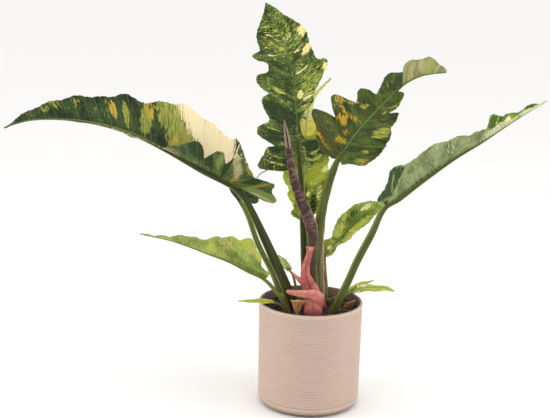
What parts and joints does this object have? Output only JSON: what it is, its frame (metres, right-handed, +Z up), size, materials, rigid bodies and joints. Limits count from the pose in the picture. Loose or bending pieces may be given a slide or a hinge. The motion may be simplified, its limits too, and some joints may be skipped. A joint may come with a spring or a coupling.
{
  "type": "potted philodendron",
  "caption": "Potted philodendron with deeply lobed, cream-splashed green leaves on long stalks, pink and dried sheaths, dark soil and a finely ribbed round pot.",
  "frame": {"origin": "middle of the pot's flat underside, which stands on the surface", "axes": "+Z up, -Y the front that the picture shows, +X to the right seen from the front"},
  "size_m": [0.7236, 0.2733, 0.5733],
  "materials": {
    "pot": "satin",
    "soil": "matte",
    "leaf_dark": "satin",
    "leaf_pale": "satin",
    "sheath_brown": "satin",
    "sheath_pink": "satin",
    "sheath_dry": "matte",
    "stem": "matte"
  },
  "bodies": {
    "root": {"pot": "pot", "soil": "soil", "leaf_left_large": "leaf_dark", "leaf_left_rear": "leaf_dark", "leaf_centre_tall": "leaf_dark", "leaf_right_middle": "leaf_dark", "leaf_centre_rear": "leaf_pale", "leaf_right_large": "leaf_pale", "leaf_right_inner": "leaf_pale", "leaf_left_lower": "leaf_pale", "leaf_left_sliver": "leaf_pale", "leaf_right_small": "leaf_pale", "leaf_right_sliver": "leaf_pale", "leaf_small_curled": "leaf_pale", "sheath_brown_tall": "sheath_brown", "sheath_pink_upright": "sheath_pink", "sheath_pink_side": "sheath_pink", "sheath_pink_strip": "sheath_pink", "sheath_dry_triangle": "sheath_dry", "sheath_dry_curl": "sheath_dry", "sheath_dry_roll": "sheath_dry", "sheath_dry_left": "sheath_dry", "stem_left": "stem", "stem_centre": "stem", "stem_right": "stem"}
  },
  "joints": []
}
